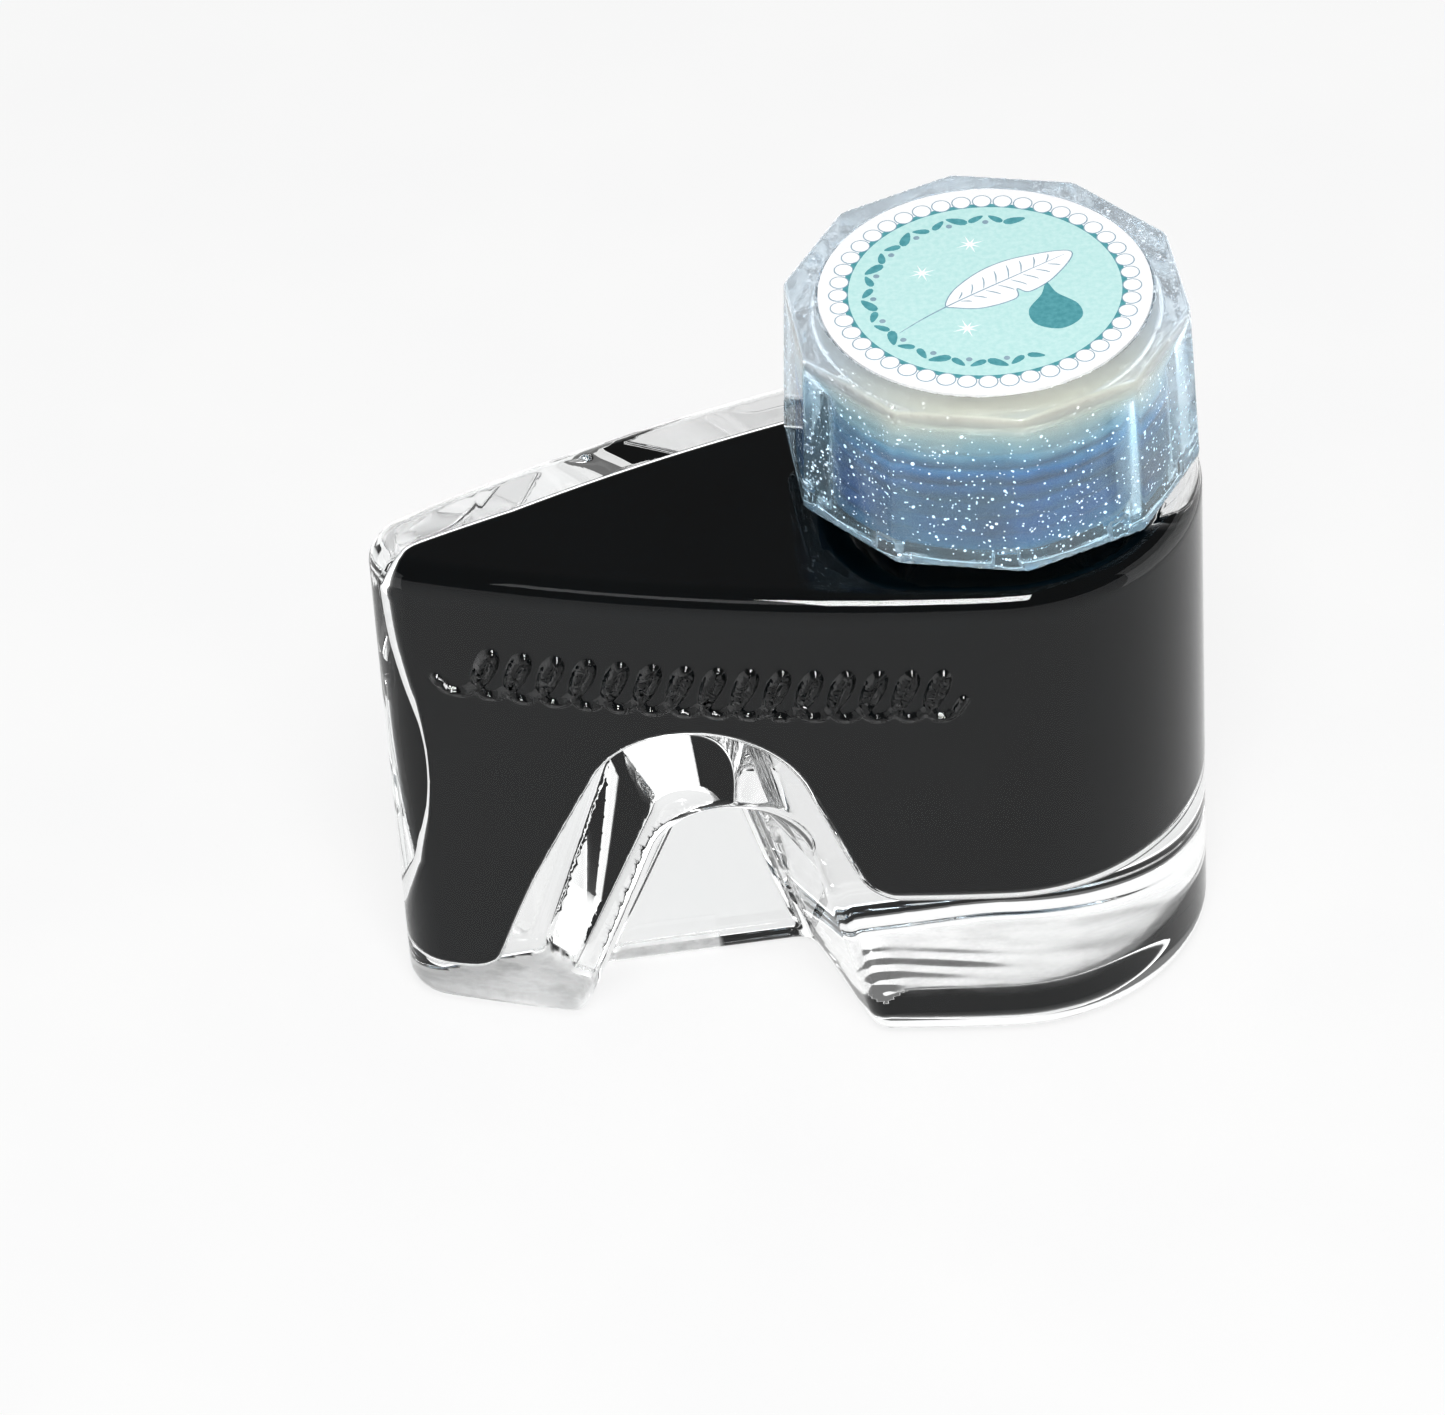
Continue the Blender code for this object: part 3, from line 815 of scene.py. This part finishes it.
def flakes(name, places, ways, sizes):
    """Small flat six-sided glitter flakes as one mesh."""
    count = len(places)
    half_thickness = 0.012
    side = unit_rows(np.cross(ways, random.normal(size=(count, 3))))
    other = np.cross(ways, side)
    corners = []
    for step in range(6):
        angle = math.tau * step / 6
        corners.append(places + (side * math.cos(angle) + other * math.sin(angle)) * sizes[:, None])
    corners.append(places + ways * half_thickness)
    corners.append(places - ways * half_thickness)
    points = np.stack(corners, 1).reshape(-1, 3)
    faces = []
    for step in range(6):
        after = (step + 1) % 6
        faces.append((step, after, 6))
        faces.append((after, step, 7))
    faces = (np.array(faces)[None] + (np.arange(count) * 8)[:, None, None]).reshape(-1, 3)
    mesh = bpy.data.meshes.new(name)
    mesh.from_pydata((points * MM).tolist(), [], faces.tolist())
    return placed(name, mesh)


def side_flakes(count, shallow, deep):
    """Places and directions in the case's side walls, between two depths."""
    facet = np.radians(CASE_TURN + 360 / SIDES * random.integers(0, SIDES, count))
    share = random.beta(1.15, 1.5, count) * 0.94 + 0.03
    radius = case_radius(share)
    flat = radius * math.cos(math.pi / SIDES)
    across = radius * math.sin(math.pi / SIDES) * random.uniform(-0.96, 0.96, count)
    depth = random.uniform(shallow, deep, count)
    out = np.stack([np.cos(facet), np.sin(facet), np.zeros(count)], 1)
    along = np.stack([-np.sin(facet), np.cos(facet), np.zeros(count)], 1)
    places = out * (flat - depth)[:, None] + along * across[:, None]
    places[:, 0] += CAP_X
    places[:, 2] = CASE_LOW + (CASE_HIGH - CASE_LOW) * share
    return places, out


def rim_flakes(count):
    """Places and directions in the case's top, round the label."""
    angle = random.uniform(0, math.tau, count)
    radius = random.uniform(14.1, 15.5, count)
    depth = random.uniform(0.06, 1.2, count)
    places = np.stack([CAP_X + radius * np.cos(angle), radius * np.sin(angle), CASE_HIGH - depth], 1)
    return places, np.tile((0.0, 0.0, 1.0), (count, 1))


near_places, near_ways = side_flakes(1300, 0.05, 0.3)
deep_places, deep_ways = side_flakes(900, 0.3, 1.15)
rim_places, rim_ways = rim_flakes(90)
places = np.concatenate([near_places, deep_places, rim_places])
ways = np.concatenate([near_ways, deep_ways, rim_ways])
ways = unit_rows(ways + random.normal(size=(len(places), 3)) * 0.35)
sizes = np.clip(random.lognormal(math.log(0.085), 0.35, len(places)), 0.05, 0.2)
glitter = flakes("cap_glitter", places, ways, sizes)
# The flakes glow with their own light: painted glints, not lamp-lit sparkle.
glitter_flake_painted_glint = principled("glitter_flake_painted_glint", (0.95, 0.97, 1.0), 0.3, Emission_Color=(0.93, 0.97, 1.0, 1.0),
                           Emission_Strength=1.0)
mottled(glitter_flake_painted_glint, (0.80, 0.93, 1.0), (1.0, 0.92, 0.96), 900.0)
glitter.data.materials.append(glitter_flake_painted_glint)
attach(glitter, "cap")


# ---------------------------------------------------------------- printed label

PAPER, MINT, TEAL, LINE, WHITE = range(5)


def ring_points(radius, count, x=0.0, y=0.0):
    """An even ring of points about a middle."""
    return [(x + radius * math.cos(math.tau * k / count), y + radius * math.sin(math.tau * k / count))
            for k in range(count)]


def add_print(bm, outline, low, high, ink_index):
    """A flat printed shape, as a very thin solid."""
    bottom = [bm.verts.new(((CAP_X + x) * MM, (LABEL_Y + y) * MM, low * MM)) for x, y in outline]
    top = [bm.verts.new(((CAP_X + x) * MM, (LABEL_Y + y) * MM, high * MM)) for x, y in outline]
    made = [bm.faces.new(top), bm.faces.new(bottom[::-1])]
    for k in range(len(outline)):
        after = (k + 1) % len(outline)
        made.append(bm.faces.new((bottom[k], bottom[after], top[after], top[k])))
    for face in made:
        face.material_index = ink_index


def sparkle(x, y, reach, turn):
    """An eight-pointed star."""
    points = []
    for k in range(16):
        far = reach if k % 4 == 0 else reach * 0.72
        radius = far if k % 2 == 0 else reach * 0.2
        angle = turn + math.tau * k / 16
        points.append((x + radius * math.cos(angle), y + radius * math.sin(angle)))
    return points


def curve_span(p0, p1, p2, p3, steps):
    """Points of a smooth curve from p1 up to p2."""
    p0, p1, p2, p3 = [np.array(p) for p in (p0, p1, p2, p3)]
    points = []
    for step in range(steps):
        t = step / steps
        point = 0.5 * (2 * p1 + (p2 - p0) * t + (2 * p0 - 5 * p1 + 4 * p2 - p3) * t * t
                       + (3 * p1 - p0 - 3 * p2 + p3) * t ** 3)
        points.append(tuple(point))
    return points


def smooth_outline(anchors):
    """A closed smooth curve through the anchors."""
    points = []
    for k in range(len(anchors)):
        points += curve_span(*[anchors[(k + n - 1) % len(anchors)] for n in range(4)], 8)
    return points


def smooth_open(anchors):
    """An open smooth curve through the anchors."""
    padded = [anchors[0], *anchors, anchors[-1]]
    points = []
    for k in range(len(anchors) - 1):
        points += curve_span(*padded[k:k + 4], 6)
    return points + [anchors[-1]]


def grown(outline, amount):
    """An outline moved out along its normals."""
    points = np.array(outline)
    ahead = np.roll(points, -1, 0) - np.roll(points, 1, 0)
    normal = unit_rows(np.stack([ahead[:, 1], -ahead[:, 0]], 1))
    area = (points[:, 0] * np.roll(points[:, 1], -1) - points[:, 1] * np.roll(points[:, 0], -1)).sum()
    return [tuple(p) for p in points + normal * amount * math.copysign(1.0, area)]


def pen_stroke(anchors, half_width):
    """A thin tapered stroke along a smooth curve."""
    line = np.array(smooth_open(anchors))
    ahead = np.gradient(line, axis=0)
    normal = unit_rows(np.stack([-ahead[:, 1], ahead[:, 0]], 1))
    width = half_width * np.sin(np.linspace(0.25, math.pi - 0.25, len(line)))[:, None]
    there = line + normal * width
    back = (line - normal * width)[::-1]
    return [tuple(p) for p in np.concatenate([there, back])]


def tilted(points, degrees=24.0):
    """Points turned about the label's middle."""
    cosine = math.cos(math.radians(degrees))
    sine = math.sin(math.radians(degrees))
    return [(x * cosine - y * sine, x * sine + y * cosine) for x, y in points]


def make_label():
    """The round label, with a feather, a drop of ink, stars and a spray of leaves."""
    bm = bmesh.new()
    add_print(bm, ring_points(LABEL_RADIUS, 128), LABEL_LOW, LABEL_TOP, PAPER)
    sunk = LABEL_TOP - 0.002
    add_print(bm, ring_points(11.45, 128), sunk, LABEL_TOP + 0.006, TEAL)
    add_print(bm, ring_points(11.0, 128), sunk, LABEL_TOP + 0.012, MINT)
    beads = 44
    for k in range(beads):
        angle = math.tau * k / beads
        x = 11.8 * math.cos(angle)
        y = 11.8 * math.sin(angle)
        add_print(bm, ring_points(0.80, 20, x, y), sunk, LABEL_TOP + 0.018, LINE)
        add_print(bm, ring_points(0.71, 20, x, y), sunk, LABEL_TOP + 0.024, WHITE)
    # a plain feather, with a drop of ink below it
    drop = smooth_outline([(5.0, 0.0), (5.6, -1.5), (7.0, -3.2), (7.0, -5.0), (5.2, -6.1), (3.3, -5.2),
                           (3.0, -3.3), (4.3, -1.5)])
    add_print(bm, drop, LABEL_TOP, LABEL_TOP + 0.018, TEAL)
    vane = smooth_outline([(-3.6, 0.2), (-1.8, 1.5), (1.5, 2.3), (4.8, 1.9), (8.4, 0.2), (5.6, -1.7),
                           (2.9, -2.2), (2.2, -1.3), (1.4, -2.3), (-1.4, -1.8), (-3.2, -0.5)])
    vane = tilted(vane)
    add_print(bm, grown(vane, 0.1), LABEL_TOP, LABEL_TOP + 0.030, LINE)
    add_print(bm, vane, LABEL_TOP, LABEL_TOP + 0.034, WHITE)
    strokes = [((-8.6, -0.7), (-5.6, -0.2), (-2.0, 0.05), (3.0, 0.15), (7.8, 0.2))]
    for barb in range(8):
        x = -2.4 + 1.2 * barb
        reach = 1.5 * math.sin(math.pi * (x + 4.2) / 12.5)
        strokes.append(((x, 0.2), (x + 0.5, 0.2 + 0.55 * reach), (x + 0.75, 0.2 + reach)))
        strokes.append(((x, -0.1), (x + 0.5, -0.1 - 0.5 * reach), (x + 0.75, -0.1 - 0.85 * reach)))
    for stroke in strokes:
        add_print(bm, pen_stroke(tilted(stroke), 0.055), LABEL_TOP, LABEL_TOP + 0.040, LINE)
    for x, y, reach in ((-4.6, 3.2, 1.15), (-0.2, 6.2, 1.2), (-2.2, -4.6, 1.2)):
        add_print(bm, sparkle(x, y, reach, 0.2), LABEL_TOP, LABEL_TOP + 0.020, WHITE)
    # leaves and berries round the left half of the field
    sprays = 24
    for k in range(sprays):
        middle = math.radians(66.0 + 220.0 * k / (sprays - 1))
        lean = math.radians(58.0 if k % 2 else -58.0)
        size = 1.0 if k % 3 else 1.3
        leaf = []
        for step in range(12):
            angle = math.tau * step / 12
            along = 0.72 * size * math.cos(angle)
            across = 0.30 * size * math.sin(angle) * (1 - 0.35 * math.cos(angle))
            turned = (along * math.cos(lean) - across * math.sin(lean),
                      along * math.sin(lean) + across * math.cos(lean))
            out = 9.45 + turned[0]
            leaf.append((out * math.cos(middle) - turned[1] * math.sin(middle),
                         out * math.sin(middle) + turned[1] * math.cos(middle)))
        add_print(bm, leaf, LABEL_TOP, LABEL_TOP + 0.018, TEAL)
        between = middle + math.radians(110.0 / (sprays - 1))
        if k % 2 and k < sprays - 1:
            berry = ring_points(0.26, 10, 9.0 * math.cos(between), 9.0 * math.sin(between))
            add_print(bm, berry, LABEL_TOP, LABEL_TOP + 0.018, LINE)
    bmesh.ops.recalc_face_normals(bm, faces=bm.faces)
    mesh = bpy.data.meshes.new("label_print")
    bm.to_mesh(mesh)
    bm.free()
    return placed("label_print", mesh)


label = make_label()
LABEL_TONES = (("label_paper", (0.90, 0.905, 0.92), (0.95, 0.95, 0.95)),
               ("label_mint", (0.52, 0.775, 0.76), (0.60, 0.825, 0.81)),
               ("label_teal", (0.09, 0.33, 0.37), (0.135, 0.41, 0.45)),
               ("label_line", (0.26, 0.38, 0.46), (0.34, 0.46, 0.54)),
               ("label_white", (0.93, 0.935, 0.95), (0.97, 0.97, 0.97)))
for name, first, second in LABEL_TONES:
    print_ink = principled(name, first, 0.35)
    label.data.materials.append(mottled(print_ink, first, second, 2200.0, 5.0, (0.28, 0.42)))
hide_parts("round_label")
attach(label, "cap")


# ---------------------------------------------------------------- studio

def stage_floor():
    """A pale floor that turns up at its far rim, a hair below the bottle."""
    profile = [(0.5, 0.0), (1.2, 0.0), (2.0, 0.0), (2.3, 0.05), (2.5, 0.2), (2.6, 0.7)]
    sides = 64
    bm = bmesh.new()
    rings = []
    for radius, z in profile:
        ring = []
        for step in range(sides):
            angle = math.tau * step / sides
            ring.append(bm.verts.new((radius * math.cos(angle), radius * math.sin(angle), z)))
        rings.append(ring)
    bm.faces.new(rings[0])
    for near, far in zip(rings, rings[1:]):
        for step in range(sides):
            after = (step + 1) % sides
            bm.faces.new((near[step], far[step], far[after], near[after]))
    mesh = bpy.data.meshes.new("studio_floor")
    bm.to_mesh(mesh)
    bm.free()
    mesh.shade_smooth()
    made = placed("studio_floor", mesh)
    made.location.z = -0.0002
    return made


floor = stage_floor()
paper = principled("studio_paper", (0.12, 0.12, 0.12), 0.9, Emission_Color=(1.0, 1.0, 1.0, 1.0),
                   Emission_Strength=0.845, Specular_IOR_Level=0.0)
mottled(paper, (0.115, 0.115, 0.116), (0.125, 0.125, 0.124), 40.0)
floor.data.materials.append(paper)

world = bpy.data.worlds.new("studio")
bpy.context.scene.world = world
world.use_nodes = True
world.node_tree.nodes["Background"].inputs["Color"].default_value = (1.0, 1.0, 1.0, 1.0)
world.node_tree.nodes["Background"].inputs["Strength"].default_value = 0.22


def softbox(name, place, target, width, depth, radiance):
    """A rectangular light that shines evenly toward a target."""
    light = bpy.data.lights.new(name, "AREA")
    light.shape = "RECTANGLE"
    light.size = width
    light.size_y = depth
    light.energy = radiance * math.pi * width * depth
    made = placed(name, light)
    made.location = place
    away = Vector(target) - Vector(place)
    made.rotation_euler = away.to_track_quat("-Z", "Y").to_euler()
    made.visible_camera = False
    return made


def from_direction(azimuth, elevation, distance):
    """A place seen from the object at an azimuth, from -Y toward +X, and an elevation."""
    turn = math.radians(azimuth)
    lift = math.radians(elevation)
    return (distance * math.sin(turn) * math.cos(lift), -distance * math.cos(turn) * math.cos(lift),
            distance * math.sin(lift))


AIM = (0.0, 0.0, 0.04)
LIGHT_DISTANCE = 0.66
softbox("key", from_direction(-2.0, 60.0, LIGHT_DISTANCE), AIM, 0.24, 0.26, 20.0)
softbox("fill", from_direction(-27.0, 56.0, LIGHT_DISTANCE), AIM, 0.26, 0.14, 1.8)

# A tent of panels round the bottle, open at the front
TENT_RADIUS = 0.105
TENT_HEIGHT = 0.1
TENT_PANELS = 12
TENT_BRIGHTNESS = 0.85
panel_width = 2 * TENT_RADIUS * math.tan(math.pi / TENT_PANELS)
for panel in range(TENT_PANELS):
    angle = math.tau * (panel + 0.5) / TENT_PANELS
    if math.sin(angle) < -0.6:
        continue
    place = (TENT_RADIUS * math.cos(angle), TENT_RADIUS * math.sin(angle), TENT_HEIGHT / 2)
    middle = (0.0, 0.0, TENT_HEIGHT / 2)
    card = softbox(f"tent_{panel}", place, middle, panel_width, TENT_HEIGHT, TENT_BRIGHTNESS)
    card.visible_diffuse = False


# ---------------------------------------------------------------- camera

# Place in metres, and angles in degrees
CAMERA_PLACE = Vector((-0.0519, -0.4712, 0.4339))
CAMERA_PITCH = 40.78
CAMERA_ROLL = -3.74

camera_data = bpy.data.cameras.new("camera")
camera = placed("camera", camera_data)
bpy.context.scene.camera = camera
camera_data.sensor_width = 36.0
camera_data.lens = 186.85
camera_data.clip_start = 0.02
camera_data.clip_end = 20.0
pitch = math.radians(CAMERA_PITCH)
roll = math.radians(CAMERA_ROLL)
heading = Vector((0.0965, 0.9953, 0.0)).normalized()
forward = heading * math.cos(pitch) - Vector((0.0, 0.0, math.sin(pitch)))
right = forward.cross(Vector((0.0, 0.0, 1.0))).normalized()
up = right.cross(forward)
axis_x = right * math.cos(roll) + up * math.sin(roll)
axis_y = -right * math.sin(roll) + up * math.cos(roll)
turn = Matrix((axis_x, axis_y, -forward)).transposed()
camera.matrix_world = Matrix.Translation(CAMERA_PLACE) @ turn.to_4x4()

scene = bpy.context.scene
scene.view_settings.view_transform = "Standard"
scene.view_settings.gamma = 0.84
scene.cycles.max_bounces = 24
scene.cycles.transmission_bounces = 24
scene.cycles.glossy_bounces = 24
scene.cycles.transparent_max_bounces = 16
